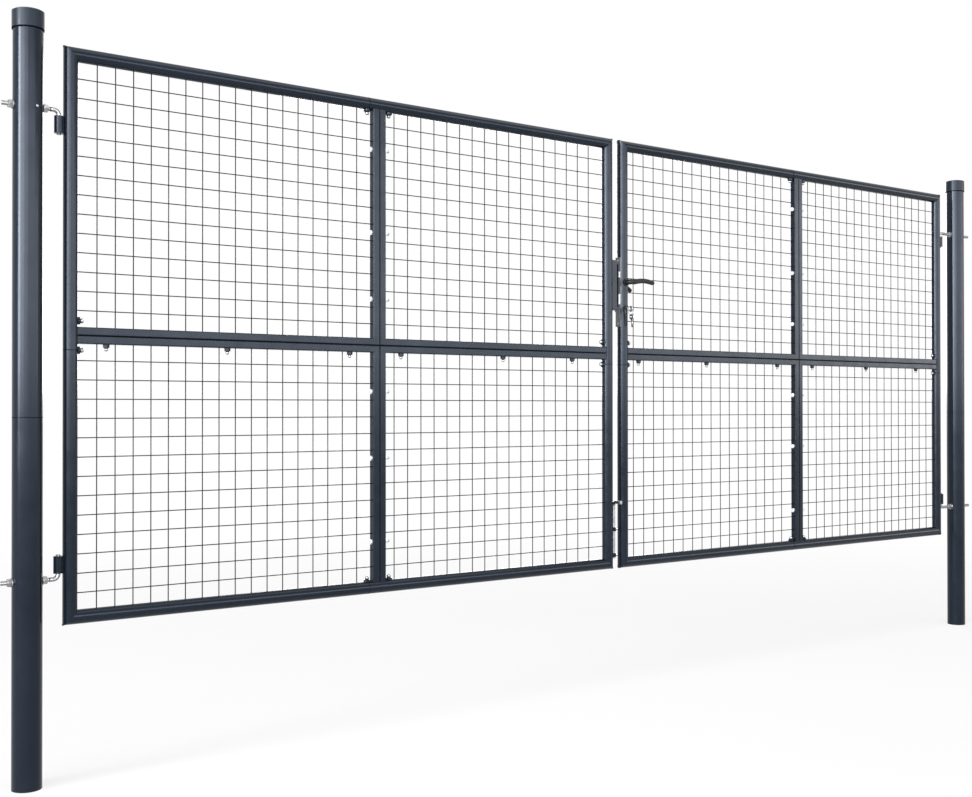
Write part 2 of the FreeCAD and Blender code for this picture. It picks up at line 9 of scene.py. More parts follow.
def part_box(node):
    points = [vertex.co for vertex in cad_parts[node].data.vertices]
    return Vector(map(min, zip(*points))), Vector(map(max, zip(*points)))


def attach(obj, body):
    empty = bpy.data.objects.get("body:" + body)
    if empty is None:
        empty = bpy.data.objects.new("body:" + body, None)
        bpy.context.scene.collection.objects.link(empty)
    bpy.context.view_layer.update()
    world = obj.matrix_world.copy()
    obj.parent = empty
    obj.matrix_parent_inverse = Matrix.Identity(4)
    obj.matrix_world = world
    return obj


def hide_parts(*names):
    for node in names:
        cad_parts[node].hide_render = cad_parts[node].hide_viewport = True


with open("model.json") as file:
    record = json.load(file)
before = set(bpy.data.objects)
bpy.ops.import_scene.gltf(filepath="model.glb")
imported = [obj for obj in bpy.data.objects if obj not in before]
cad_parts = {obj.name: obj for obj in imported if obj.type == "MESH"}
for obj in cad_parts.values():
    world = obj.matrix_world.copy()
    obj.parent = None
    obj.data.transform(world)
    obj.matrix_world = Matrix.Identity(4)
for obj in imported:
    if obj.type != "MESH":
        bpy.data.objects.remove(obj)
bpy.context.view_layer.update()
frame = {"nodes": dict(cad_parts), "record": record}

# The photograph's camera

IMAGE_WIDTH = 972
FOCAL_PIXELS = 1253.1
SENSOR_WIDTH = 36.0
CAMERA_PLACE = Vector((-0.9709, -3.298, 0.978))
CAMERA_YAW = math.radians(36.504)
CAMERA_PITCH = math.radians(0.43)
CAMERA_ROLL = math.radians(-0.044)
FAR_CLIP = 60


def make_camera():
    data = bpy.data.cameras.new("photo_camera")
    data.sensor_width = SENSOR_WIDTH
    data.lens = SENSOR_WIDTH * FOCAL_PIXELS / IMAGE_WIDTH
    data.clip_end = FAR_CLIP
    camera = bpy.data.objects.new("photo_camera", data)
    turn = Matrix.Rotation(-CAMERA_YAW, 4, "Z") @ Matrix.Rotation(math.pi / 2 + CAMERA_PITCH, 4, "X")
    camera.matrix_world = Matrix.Translation(CAMERA_PLACE) @ turn @ Matrix.Rotation(CAMERA_ROLL, 4, "Z")
    bpy.context.scene.collection.objects.link(camera)
    bpy.context.scene.camera = camera


# Shader helpers

# Where a colour mix node keeps its factor, its two colours and its result
MIX_FACTOR = 0
MIX_FIRST = 6
MIX_SECOND = 7
MIX_RESULT = 2


def new_material(name):
    material = bpy.data.materials.new(name)
    material.use_nodes = True
    tree = material.node_tree
    return material, tree, tree.nodes["Principled BSDF"]


def set_inputs(node, values):
    """Set a shader node's inputs by their names."""
    for name, value in values.items():
        node.inputs[name].default_value = value


def combine(tree, operation, first, second):
    """One number from two others."""
    node = tree.nodes.new("ShaderNodeMath")
    node.operation = operation
    tree.links.new(first, node.inputs[0])
    tree.links.new(second, node.inputs[1])
    return node.outputs[0]


def remap(tree, source, low, high, start=0.3, end=0.7):
    """Stretch a value's range from start and end to low and high."""
    node = tree.nodes.new("ShaderNodeMapRange")
    set_inputs(node, {"From Min": start, "From Max": end, "To Min": low, "To Max": high})
    tree.links.new(source, node.inputs["Value"])
    return node.outputs["Result"]


def noise_texture(tree, scale, detail=3.0, roughness=0.5):
    """Noise in the object's own coordinates, so that it is in metres and stays put."""
    place = tree.nodes.new("ShaderNodeTexCoord")
    texture = tree.nodes.new("ShaderNodeTexNoise")
    set_inputs(texture, {"Scale": scale, "Detail": detail, "Roughness": roughness})
    tree.links.new(place.outputs["Object"], texture.inputs["Vector"])
    return texture.outputs["Fac"]


def blend_colours(tree, factor, first, second):
    node = tree.nodes.new("ShaderNodeMix")
    node.data_type = "RGBA"
    node.inputs[MIX_FIRST].default_value = (*first, 1)
    node.inputs[MIX_SECOND].default_value = (*second, 1)
    tree.links.new(factor, node.inputs[MIX_FACTOR])
    return node.outputs[MIX_RESULT]


def bump(tree, source, shader, strength, distance):
    node = tree.nodes.new("ShaderNodeBump")
    set_inputs(node, {"Strength": strength, "Distance": distance})
    tree.links.new(source, node.inputs["Height"])
    tree.links.new(node.outputs["Normal"], shader.inputs["Normal"])


def seen_rays(tree):
    """1 for camera, glossy and transmission rays, 0 for the light that bounces."""
    path = tree.nodes.new("ShaderNodeLightPath")
    total = path.outputs["Is Camera Ray"]
    for kind in ("Is Glossy Ray", "Is Transmission Ray"):
        total = combine(tree, "MAXIMUM", total, path.outputs[kind])
    return total


def mix_shaders(tree, factor, first, second, output):
    mix = tree.nodes.new("ShaderNodeMixShader")
    tree.links.new(factor, mix.inputs[0])
    tree.links.new(first.outputs[0], mix.inputs[1])
    tree.links.new(second.outputs[0], mix.inputs[2])
    tree.links.new(mix.outputs[0], output.inputs["Surface"])


# Backdrop and floor

WHITE = (1, 1, 1, 1)
BACKDROP_LIGHT = 0.12
BACKDROP_SEEN = 1.0
FLOOR_SIZE = 80
FLOOR_CENTRE = (2, 0, 0)
FLOOR_LOOKS = {"Base Color": (0.85, 0.85, 0.85, 1), "Roughness": 0.9, "Specular IOR Level": 0.1}
FADE_START = 1.5
FADE_END = 5.5
WHITE_NEAR = 0.72
WHITE_FAR = 1.0


def make_world():
    """A white backdrop that lights the object only a little."""
    world = bpy.context.scene.world or bpy.data.worlds.new("studio")
    bpy.context.scene.world = world
    world.use_nodes = True
    tree = world.node_tree
    tree.nodes.clear()
    output = tree.nodes.new("ShaderNodeOutputWorld")
    backgrounds = []
    for strength in (BACKDROP_LIGHT, BACKDROP_SEEN):
        background = tree.nodes.new("ShaderNodeBackground")
        set_inputs(background, {"Color": WHITE, "Strength": strength})
        backgrounds.append(background)
    mix_shaders(tree, seen_rays(tree), *backgrounds, output)


def make_floor():
    """A pale floor that keeps the shadow near the gate and turns into the white backdrop further out."""
    bpy.ops.mesh.primitive_plane_add(size=FLOOR_SIZE, location=FLOOR_CENTRE)
    floor = bpy.context.object
    floor.name = "floor"
    paint, tree, shader = new_material("floor_white")
    set_inputs(shader, FLOOR_LOOKS)
    white = tree.nodes.new("ShaderNodeEmission")
    set_inputs(white, {"Color": WHITE, "Strength": BACKDROP_SEEN})
    place = tree.nodes.new("ShaderNodeTexCoord")
    distance = tree.nodes.new("ShaderNodeVectorMath")
    distance.operation = "LENGTH"
    tree.links.new(place.outputs["Object"], distance.inputs[0])
    fade = remap(tree, distance.outputs["Value"], WHITE_NEAR, WHITE_FAR, FADE_START, FADE_END)
    share = combine(tree, "MULTIPLY", seen_rays(tree), fade)
    mix_shaders(tree, share, shader, white, tree.nodes["Material Output"])
    floor.data.materials.append(paint)


# Lamps

PANEL_BOTTOM = 1.15
PANEL_AIM = (2.0, 0, 1.2)
PANELS = {
    "far_left_panel": {"x": -10.93, "y": -1.52, "width": 3.0, "height": 4.7, "radiance": 38.0},
    "left_panel": {"x": -9.4, "y": -5.9, "width": 6.5, "height": 4.5, "radiance": 15.5},
    "middle_panel": {"x": -5.8, "y": -10.4, "width": 5.0, "height": 4.4, "radiance": 9.0},
    "front_panel": {"x": 2.9, "y": -13.0, "width": 15.3, "height": 4.2, "radiance": 5.4},
    "right_panel": {"x": 14.0, "y": -10.2, "width": 8.0, "height": 3.6, "radiance": 5.0},
    "rear_panel": {"x": 9.5, "y": 11.0, "width": 6.0, "height": 4.4, "radiance": 9.0},
}
TOP_PANEL = {
    "centre": (2.2, -1.2, 5.6), "target": (2.2, 0, 1),
    "width": 7.0, "height": 2.6, "radiance": 1.5,
}


def soft_box(name, centre, target, width, height, radiance):
    """A rectangular lamp with the same brightness all over, facing a target."""
    data = bpy.data.lights.new(name, "AREA")
    data.shape = "RECTANGLE"
    data.size = width
    data.size_y = height
    data.energy = radiance * math.pi * width * height
    lamp = bpy.data.objects.new(name, data)
    lamp.location = Vector(centre)
    lamp.rotation_euler = (Vector(target) - Vector(centre)).to_track_quat("-Z", "Y").to_euler()
    bpy.context.scene.collection.objects.link(lamp)


def make_stage():
    """Tall panels from the far left round to the right, one behind the gate and one overhead."""
    make_world()
    make_floor()
    for name, panel in PANELS.items():
        centre = (panel["x"], panel["y"], PANEL_BOTTOM + panel["height"] / 2)
        soft_box(name, centre, PANEL_AIM, panel["width"], panel["height"], panel["radiance"])
    soft_box("top_panel", **TOP_PANEL)


# Materials

PAINT_GLOSS = 0.22
PAINT_TINT = (0.75, 0.84, 1.0, 1)

# How much lighter the pale patches of plastic are
PALE_PATCHES = 1.5

# How far the roughness drifts down, and up on paint and on plastic
SMOOTHER = 0.05
ROUGHER_PAINT = 0.06
ROUGHER_PLASTIC = 0.08

COATS = {
    "powder_coat": {
        "dark": (0.004, 0.006, 0.010), "light": (0.006, 0.009, 0.014),
        "roughness": 0.19, "peel_scale": 420.0, "peel_depth": 0.0003,
    },
    "mesh_wire": {
        "dark": (0.005, 0.006, 0.008), "light": (0.008, 0.009, 0.011),
        "roughness": 0.34, "peel_scale": 700.0, "peel_depth": 0.0002,
    },
    "cap_plastic": {
        "dark": (0.006, 0.009, 0.013), "light": (0.008, 0.012, 0.017),
        "roughness": 0.30, "peel_scale": 900.0, "peel_depth": 0.0002,
    },
}
PLASTICS = {
    "black_plastic": {"colour": (0.008, 0.008, 0.009), "gloss": 0.2, "roughness": 0.38},
    # A flat near-black: the colour of the dark joint lines, and also painted shade in the box tube grooves,
    # under the cap rims and at the keep's edge
    "rubber": {"colour": (0.002, 0.002, 0.003), "gloss": 0.02, "roughness": 0.85},
}
METALS = {
    "zinc": {
        "dark": (0.25, 0.26, 0.27), "light": (0.38, 0.385, 0.39),
        "smooth": 0.24, "rough": 0.40,
    },
    "dull_zinc": {
        "dark": (0.11, 0.115, 0.125), "light": (0.18, 0.185, 0.195),
        "smooth": 0.45, "rough": 0.60,
    },
    "bright_steel": {
        "dark": (0.75, 0.76, 0.77), "light": (0.85, 0.855, 0.86),
        "smooth": 0.35, "rough": 0.50,
    },
}


def powder_coat(name, dark, light, roughness, peel_scale, peel_depth):
    """Glossy powder coat: orange peel, slight colour drift and uneven gloss."""
    material, tree, shader = new_material(name)
    set_inputs(shader, {"Specular IOR Level": PAINT_GLOSS, "Specular Tint": PAINT_TINT})
    drift = noise_texture(tree, scale=3.0, detail=4.0)
    colour = blend_colours(tree, remap(tree, drift, 0, 1), dark, light)
    tree.links.new(colour, shader.inputs["Base Color"])
    gloss = noise_texture(tree, scale=18.0, detail=5.0, roughness=0.6)
    uneven = remap(tree, gloss, low=roughness - SMOOTHER, high=roughness + ROUGHER_PAINT)
    tree.links.new(uneven, shader.inputs["Roughness"])
    peel = noise_texture(tree, peel_scale, detail=2.0)
    bump(tree, peel, shader, strength=0.25, distance=peel_depth)
    return material


def cloudy_metal(name, dark, light, smooth, rough):
    """Plated metal with a cloudy grain in colour and gloss."""
    material, tree, shader = new_material(name)
    set_inputs(shader, {"Metallic": 1.0})
    cloud = noise_texture(tree, scale=90.0, detail=5.0, roughness=0.65)
    colour = blend_colours(tree, remap(tree, cloud, 0, 1), dark, light)
    tree.links.new(colour, shader.inputs["Base Color"])
    tree.links.new(remap(tree, cloud, smooth, rough), shader.inputs["Roughness"])
    grain = noise_texture(tree, scale=700.0, detail=2.0)
    bump(tree, grain, shader, strength=0.15, distance=0.0002)
    return material


def moulded_plastic(name, colour, gloss, roughness):
    """Fine-grained moulded plastic, or the flat near-black used for dark joints and painted shade."""
    material, tree, shader = new_material(name)
    set_inputs(shader, {"Specular IOR Level": gloss})
    drift = noise_texture(tree, scale=40.0, detail=3.0)
    lighter = tuple(channel * PALE_PATCHES for channel in colour)
    blend = blend_colours(tree, remap(tree, drift, 0, 1), colour, lighter)
    tree.links.new(blend, shader.inputs["Base Color"])
    uneven = remap(tree, drift, low=roughness - SMOOTHER, high=roughness + ROUGHER_PLASTIC)
    tree.links.new(uneven, shader.inputs["Roughness"])
    grain = noise_texture(tree, scale=1800.0, detail=2.0)
    bump(tree, grain, shader, strength=0.3, distance=0.0001)
    return material


def make_materials():
    materials = {}
    for table, maker in ((COATS, powder_coat), (PLASTICS, moulded_plastic), (METALS, cloudy_metal)):
        for name, looks in table.items():
            materials[name] = maker(name, **looks)
    return materials


# Mesh helpers

def new_piece(name, mesh, body, material, smooth=True):
    """Link a finished mesh as a piece that rides on a body."""
    mesh.normal_update()
    data = bpy.data.meshes.new(name)
    mesh.to_mesh(data)
    mesh.free()
    for polygon in data.polygons:
        polygon.use_smooth = smooth
    piece = bpy.data.objects.new(name, data)
    data.materials.append(material)
    bpy.context.scene.collection.objects.link(piece)
    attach(piece, body)
    return piece


def outward_piece(name, mesh, body, material, smooth=True):
    """Turn all faces of a mesh outwards and link it as a piece."""
    bmesh.ops.recalc_face_normals(mesh, faces=mesh.faces)
    return new_piece(name, mesh, body, material, smooth)


def add_block(mesh, place, size):
    """A box with the given size about a frame's centre."""
    bmesh.ops.create_cube(mesh, size=1.0, matrix=place @ Matrix.Diagonal((*size, 1)))


def bridge(mesh, first, second):
    """Faces between two rings with the same number of points."""
    for step in range(len(first)):
        following = (step + 1) % len(first)
        mesh.faces.new((first[step], first[following], second[following], second[step]))


def add_tube(mesh, start, end, radius, sides=8):
    """A round closed bar between two points."""
    start, end = Vector(start), Vector(end)
    along = (end - start).normalized()
    side = along.orthogonal().normalized()
    other = along.cross(side)
    rings = []
    for point in (start, end):
        ring = []
        for step in range(sides):
            angle = 2 * math.pi * (step + 0.5) / sides
            across = math.cos(angle) * side + math.sin(angle) * other
            ring.append(mesh.verts.new(point + radius * across))
        rings.append(ring)
    bridge(mesh, *rings)
    mesh.faces.new(list(reversed(rings[0])))
    mesh.faces.new(rings[1])


# Turned, swept and prismatic shapes for the small hardware

AXES = {
    "+x": Matrix.Rotation(math.pi / 2, 4, "Y"),
    "-x": Matrix.Rotation(-math.pi / 2, 4, "Y"),
    "+z": Matrix.Identity(4),
    "-z": Matrix.Rotation(math.pi, 4, "X"),
}
SEAM_RING_SINK = 0.0002
SEAM_RING_PROUD = 0.00025
SEAM_RING_FOOT = 0.0010
SEAM_RING_CREST = 0.0007

# A hexagon's chamfer as a share of its corner radius, and the chamfer's height as a share of its width
HEX_CHAMFER = 0.13
CHAMFER_SLOPE = 0.6

# A thread's depth, its tapered start and its first crest, in pitches, and the taper's share of the root
THREAD_DEPTH = 0.6
TAPER_LENGTH = 0.4
FIRST_CREST = 0.25
TAPER_SHARE = 0.96

# How much the drops of a weld bead differ in size, and how fast along the bead
BEAD_WAVES = ((0.16, 2.3), (0.1, 5.1))


def spot(centre, axis):
    """A local frame at a point whose Z looks along the named axis."""
    return Matrix.Translation(centre) @ AXES[axis]


def turned(mesh, profile, place, sides=20, inner=False):
    """Turn a profile of (radius, height) pairs about the frame's Z; an inner profile closes on itself."""
    rings = []
    for radius, height in profile:
        if radius == 0:
            rings.append([mesh.verts.new(place @ Vector((0, 0, height)))])
            continue
        ring = []
        for step in range(sides):
            angle = 2 * math.pi * (step + 0.5) / sides
            corner = Vector((radius * math.cos(angle), radius * math.sin(angle), height))
            ring.append(mesh.verts.new(place @ corner))
        rings.append(ring)
    pairs = list(zip(rings, rings[1:]))
    if inner:
        pairs.append((rings[-1], rings[0]))
    for lower, upper in pairs:
        for step in range(sides):
            following = (step + 1) % sides
            corners = [lower[step % len(lower)], lower[following % len(lower)],
                       upper[following % len(upper)], upper[step % len(upper)]]
            unique = list(dict.fromkeys(corners))
            if len(unique) > 2:
                mesh.faces.new(unique)


def seam_profile(radius):
    """The section of a thin ring that lies just proud of a round tube."""
    inside = radius - SEAM_RING_SINK
    outside = radius + SEAM_RING_PROUD
    return [(inside, -SEAM_RING_FOOT), (outside, -SEAM_RING_CREST),
            (outside, SEAM_RING_CREST), (inside, SEAM_RING_FOOT)]


def ring_profile(bore, radius, low, high):
    """The square section of a flat ring or washer."""
    return [(bore, low), (radius, low), (radius, high), (bore, high)]


def hexagon(mesh, centre, axis, corner, height, bore=0.0):
    """A hexagon nut or head with a chamfered outer end."""
    chamfer = corner * HEX_CHAMFER
    shoulder = height - chamfer * CHAMFER_SLOPE
    profile = [(bore, 0), (corner, 0), (corner, shoulder), (corner - chamfer, height), (bore, height)]
    turned(mesh, profile, spot(centre, axis), sides=6, inner=bore > 0)


def threaded_rod(mesh, centre, axis, radius, pitch, length, sides=16):
    """A rod with a helical thread: a crest line and a root line that climb together."""
    place = spot(centre, axis)
    root = radius - THREAD_DEPTH * pitch
    core = [(0, 0), (root * TAPER_SHARE, 0), (root, pitch * TAPER_LENGTH), (root, length), (0, length)]
    turned(mesh, core, place, sides)
    turns = int((length - pitch) / pitch)
    crests = []
    roots = []
    for step in range(turns * sides + 1):
        angle = 2 * math.pi * step / sides
        height = pitch * (FIRST_CREST + step / sides)
        across = Vector((math.cos(angle), math.sin(angle), 0))
        crests.append(mesh.verts.new(place @ (radius * across + Vector((0, 0, height)))))
        roots.append(mesh.verts.new(place @ (root * across + Vector((0, 0, height + pitch / 2)))))
    for step in range(turns * sides):
        mesh.faces.new((crests[step], crests[step + 1], roots[step + 1], roots[step]))
        if step + 1 + sides < len(crests):
            mesh.faces.new((roots[step], roots[step + 1], crests[step + 1 + sides], crests[step + sides]))


def swept(mesh, points, radii, sides=16, closed=False):
    """A round bar along a line of points, with one radius at each of them."""
    count = len(points)
    rings = []
    for number, point in enumerate(points):
        before = points[(number - 1) % count] if closed or number else point
        after = points[(number + 1) % count] if closed or number < count - 1 else point
        along = (after - before).normalized()
        side = side - along * side.dot(along) if rings else along.orthogonal()
        side = side.normalized()
        other = along.cross(side)
        ring = []
        for step in range(sides):
            angle = 2 * math.pi * step / sides
            across = math.cos(angle) * side + math.sin(angle) * other
            ring.append(mesh.verts.new(point + radii[number] * across))
        rings.append(ring)
    pairs = list(zip(rings, rings[1:]))
    if closed:
        pairs.append((rings[-1], rings[0]))
    else:
        mesh.faces.new(list(reversed(rings[0])))
        mesh.faces.new(rings[-1])
    for first, second in pairs:
        bridge(mesh, first, second)


def arc(centre, first, second, radius, start, end, steps):
    """Points on an arc between two unit directions; start and end are in degrees."""
    centre, first, second = Vector(centre), Vector(first), Vector(second)
    points = []
    for step in range(steps + 1):
        angle = math.radians(start + (end - start) * step / steps)
        points.append(centre + radius * (math.cos(angle) * first + math.sin(angle) * second))
    return points


def bead(mesh, points, radius):
    """A weld bead: overlapping drops that differ a little in size."""
    for number, point in enumerate(points):
        share = 1
        for height, rate in BEAD_WAVES:
            share += height * math.sin(rate * number)
        place = Matrix.Translation(point)
        bmesh.ops.create_icosphere(mesh, subdivisions=1, radius=radius * share, matrix=place)


# The leaves' measures, in metres, as the construction has them

TUBE_RADIUS = 0.019
LEAF_WIDTH = 1.930
LEAF_HEIGHT = 1.520
LEAF_MIDDLES = {"left_leaf": 1.056, "right_leaf": 3.021}
MIDDLE_Z = 1.170
SEAM_PLAY = 0.00025
INNER_WIDTH = 0.022
INNER_HALF_DEPTH = 0.0125
INNER_EDGE = SEAM_PLAY + INNER_WIDTH
RAIL_LEVEL = LEAF_HEIGHT / 2 - TUBE_RADIUS
STILE_REACH = LEAF_WIDTH / 2 - TUBE_RADIUS


# Welds where the tubes meet

CORNER_DROPS = 40
CORNER_BEAD = 0.0013
TEE_DROPS = 9
TEE_BEAD = 0.0014


def corner_weld(mesh, x, z, right, up):
    """The bead round a mitred corner of the round tube."""
    points = []
    for step in range(CORNER_DROPS):
        angle = 2 * math.pi * step / CORNER_DROPS
        reach = TUBE_RADIUS * math.sin(angle)
        points.append(Vector((x + right * reach, TUBE_RADIUS * math.cos(angle), z + up * reach)))
    bead(mesh, points, CORNER_BEAD)


def tee_weld(mesh, place, start, end):
    """The bead round a box tube's coped end; the frame's X is across the tube and Z its length."""
    sides = []
    for step in range(TEE_DROPS):
        share = step / TEE_DROPS
        across = start + (end - start) * share
        along = INNER_HALF_DEPTH * (2 * share - 1)
        sides += [(across, -INNER_HALF_DEPTH), (across, INNER_HALF_DEPTH), (start, along), (end, along)]
    points = []
    for across, depth in sides:
        sag = TUBE_RADIUS - math.sqrt(TUBE_RADIUS ** 2 - depth ** 2)
        points.append(place @ Vector((across, depth, sag)))
    bead(mesh, points, TEE_BEAD)


def leaf_welds(name, material):
    """All beads of one leaf's frame: its four corners and the ends of its box tubes."""
    middle = LEAF_MIDDLES[name]
    mesh = bmesh.new()
    for right in (-1, 1):
        for up in (-1, 1):
            corner_weld(mesh, middle + right * STILE_REACH, MIDDLE_Z + up * RAIL_LEVEL, right, up)
            edges = sorted((right * SEAM_PLAY, right * INNER_EDGE))
            level = MIDDLE_Z + up * (RAIL_LEVEL - TUBE_RADIUS)
            top = Matrix.Translation((middle, 0, level)) @ Matrix.Diagonal((1, 1, up, 1))
            tee_weld(mesh, top, *edges)
            edges = sorted((up * SEAM_PLAY, up * INNER_EDGE))
            swap = Matrix(((0, 0, right, 0), (0, 1, 0, 0), (1, 0, 0, 0), (0, 0, 0, 1)))
            side = Matrix.Translation((middle + right * (STILE_REACH - TUBE_RADIUS), 0, MIDDLE_Z)) @ swap
            tee_weld(mesh, side, *edges)
    outward_piece(name + "_welds", mesh, name, material)


# Bolts that hold the four quarters of a leaf together

BOLT_RADIUS = 0.0050
BOLT_END = 0.0095
HEAD_CORNER = 0.0085
HEAD_HEIGHT = 0.0065
NUT_CORNER = 0.0085
NUT_HEIGHT = 0.0075
WASHER_RADIUS = 0.0095
WASHER_HEIGHT = 0.0012
LUG_RADIUS = 0.0102
LUG_HEIGHT = 0.0075
LUG_RIM_WIDTH = 0.0012
LUG_RIM_HEIGHT = 0.001
LUG_OFFSET = 0.039
LUG_SINK = 0.0015
SCREW_RADIUS = 0.0065
SCREW_HEIGHT = 0.0105
UPRIGHT_BOLTS = (0.602, 0.346, 0.142, -0.142, -0.346, -0.602)
RAIL_BOLTS = {
    "left_leaf": (-0.850, -0.500, -0.100, 0.084, 0.484, 0.784),
    "right_leaf": (-0.868, -0.518, -0.118, 0.095, 0.445, 0.795),
}

# How far a domed end has risen at its rim, as a share of its height, and the dome's steps in degrees
DOME_RIM = 0.55
DOME_STEPS = range(0, 90, 15)


def dome(mesh, place, radius, low, high):
    """A round end that stands out of a nut or boss and is domed on its outer half."""
    profile = [(0, low), (radius, low)]
    for degrees in DOME_STEPS:
        angle = math.radians(degrees)
        share = DOME_RIM + (1 - DOME_RIM) * math.sin(angle)
        profile.append((radius * math.cos(angle), low + (high - low) * share))
    profile.append((0, high))
    turned(mesh, profile, place, sides=20)


def end_nut(nuts, ends, centre, axis):
    """A washer, a nut and the domed end of its bolt."""
    place = spot(centre, axis)
    washer = [(0, 0), (WASHER_RADIUS, 0), (WASHER_RADIUS, WASHER_HEIGHT), (0, WASHER_HEIGHT)]
    turned(nuts, washer, place)
    hexagon(nuts, place @ Vector((0, 0, WASHER_HEIGHT)), axis, NUT_CORNER, NUT_HEIGHT)
    low = WASHER_HEIGHT + NUT_HEIGHT
    dome(ends, place, BOLT_RADIUS, low, low + BOLT_END)


def lug(bosses, ends, centre, axis):
    """A painted boss on a tube's joint, with the domed end of the screw that locks the joint."""
    place = spot(centre, axis)
    rim = LUG_RADIUS - LUG_RIM_WIDTH
    shoulder = LUG_HEIGHT - LUG_RIM_HEIGHT
    boss = [(0, 0), (LUG_RADIUS, 0), (LUG_RADIUS, shoulder), (rim, LUG_HEIGHT), (0, LUG_HEIGHT)]
    turned(bosses, boss, place, sides=24)
    dome(ends, place, SCREW_RADIUS, LUG_HEIGHT, LUG_HEIGHT + SCREW_HEIGHT)


def leaf_bolts(name, materials):
    """Bolts through the paired box tubes, and the lugs that lock the joints of the outer tubes."""
    middle = LEAF_MIDDLES[name]
    heads = bmesh.new()
    ends = bmesh.new()
    bosses = bmesh.new()
    for height in UPRIGHT_BOLTS:
        hexagon(heads, Vector((middle - INNER_EDGE, 0, MIDDLE_Z + height)), "-x", HEAD_CORNER, HEAD_HEIGHT)
        end_nut(heads, ends, Vector((middle + INNER_EDGE, 0, MIDDLE_Z + height)), "+x")
    for across in RAIL_BOLTS[name]:
        end_nut(bosses, ends, Vector((middle + across, 0, MIDDLE_Z - INNER_EDGE)), "-z")
    for side in (-1, 1):
        for up in (-1, 1):
            level = MIDDLE_Z + up * (RAIL_LEVEL - TUBE_RADIUS + LUG_SINK)
            lug(bosses, ends, Vector((middle + side * LUG_OFFSET, 0, level)), "-z" if up > 0 else "+z")
            x = middle + side * (STILE_REACH - TUBE_RADIUS + LUG_SINK)
            lug(bosses, ends, Vector((x, 0, MIDDLE_Z + up * LUG_OFFSET)), "-x" if side > 0 else "+x")
    pieces = (
        ("bolt_heads", heads, "zinc", "bright_steel", False),
        ("screw_ends", ends, "zinc", "zinc", True),
        ("nuts_and_lugs", bosses, "powder_coat", "powder_coat", False),
    )
    for label, mesh, slot, finish, smooth in pieces:
        outward_piece(f"{name}_{label}", mesh, name, materials[finish], smooth)


# Joints of the leaves, and painted shade in the grooves between their box tubes

# Size, depth and inset of the dark strips that paint the shade in the grooves between the box tubes
GROOVE_SHADE_WIDTH = 0.0035
GROOVE_SHADE_DEPTH = 0.0016
GROOVE_SHADE_INSET = 0.0004


def groove_shade_strips(name, material):
    """Dark strips in the grooves between the paired box tubes, front and back: painted shade where the
    grooves lie in shadow.
    """
    middle = LEAF_MIDDLES[name]
    mesh = bmesh.new()
    depth = INNER_HALF_DEPTH - GROOVE_SHADE_DEPTH / 2 - GROOVE_SHADE_INSET
    width = 2 * (STILE_REACH - TUBE_RADIUS)
    height = 2 * (RAIL_LEVEL - TUBE_RADIUS)
    for side in (-1, 1):
        centre = Matrix.Translation((middle, side * depth, MIDDLE_Z))
        add_block(mesh, centre, (width, GROOVE_SHADE_DEPTH, GROOVE_SHADE_WIDTH))
        add_block(mesh, centre, (GROOVE_SHADE_WIDTH, GROOVE_SHADE_DEPTH, height))
    new_piece(name + "_groove_shade_strips", mesh, name, material, smooth=False)


def tube_joints(name, material):
    """The thin dark lines where the outer tubes of two quarters plug into each other."""
    middle = LEAF_MIDDLES[name]
    mesh = bmesh.new()
    for side in (-1, 1):
        rail = Vector((middle - LUG_OFFSET, 0, MIDDLE_Z + side * RAIL_LEVEL))
        stile = Vector((middle + side * STILE_REACH, 0, MIDDLE_Z - LUG_OFFSET))
        for centre, axis in ((rail, "+x"), (stile, "+z")):
            turned(mesh, seam_profile(TUBE_RADIUS), spot(centre, axis), sides=48, inner=True)
    outward_piece(name + "_tube_joints", mesh, name, material)


# Posts, and hinge pins with a rolled thread

POST_RADIUS = 0.038
POST_JOINT = 0.954
CAP_RADIUS = 0.0402
CAP_RIM = 1.957
# Height of the near-black ring under a cap's rim that paints the rim's shadow
CAP_SHADOW_HEIGHT = 0.0035
POST_CENTRES = {"left": 0.0, "right": 4.116}
HINGES = {"left": 0.079, "right": 3.998}
OUTER_REACH = {"left": 0.0665, "right": 0.0985}
PIN_LEVELS = {"upper": 1.758, "lower": 0.532}
PIN_RADIUS = 0.006
PIN_BEND = 0.014
PIN_REACH = 0.050
THREAD_PITCH = 0.00175
THREAD_STOP = 0.008
HINGE_BORE = 0.0061
HINGE_WASHER_RADIUS = 0.012
HINGE_WASHER_HEIGHT = 0.0025
HINGE_NUT_CORNER = 0.011
HINGE_NUT_HEIGHT = 0.010


def hinge_pins(side, material):
    """Both pins of one post: threaded through the post, then bent smooth into the barrel."""
    inward = 1 if side == "left" else -1
    axis = "+x" if inward > 0 else "-x"
    start = POST_CENTRES[side] - inward * OUTER_REACH[side]
    bend_start = HINGES[side] - inward * PIN_BEND
    threaded = abs(bend_start - start) - THREAD_STOP
    mesh = bmesh.new()
    for level, z in PIN_LEVELS.items():
        down = -1 if level == "upper" else 1
        threaded_rod(mesh, Vector((start, 0, z)), axis, PIN_RADIUS, THREAD_PITCH, threaded)
        line = [Vector((start + inward * threaded, 0, z))]
        centre = (bend_start, 0, z + down * PIN_BEND)
        line += arc(centre, (0, 0, -down), (inward, 0, 0), PIN_BEND, start=0, end=90, steps=10)
        line.append(Vector((HINGES[side], 0, z + down * (PIN_BEND + PIN_REACH))))
        swept(mesh, line, [PIN_RADIUS] * len(line))
    piece = outward_piece(side + "_threaded_pins", mesh, "posts", material)
    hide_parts(side + "_hinge_pins")


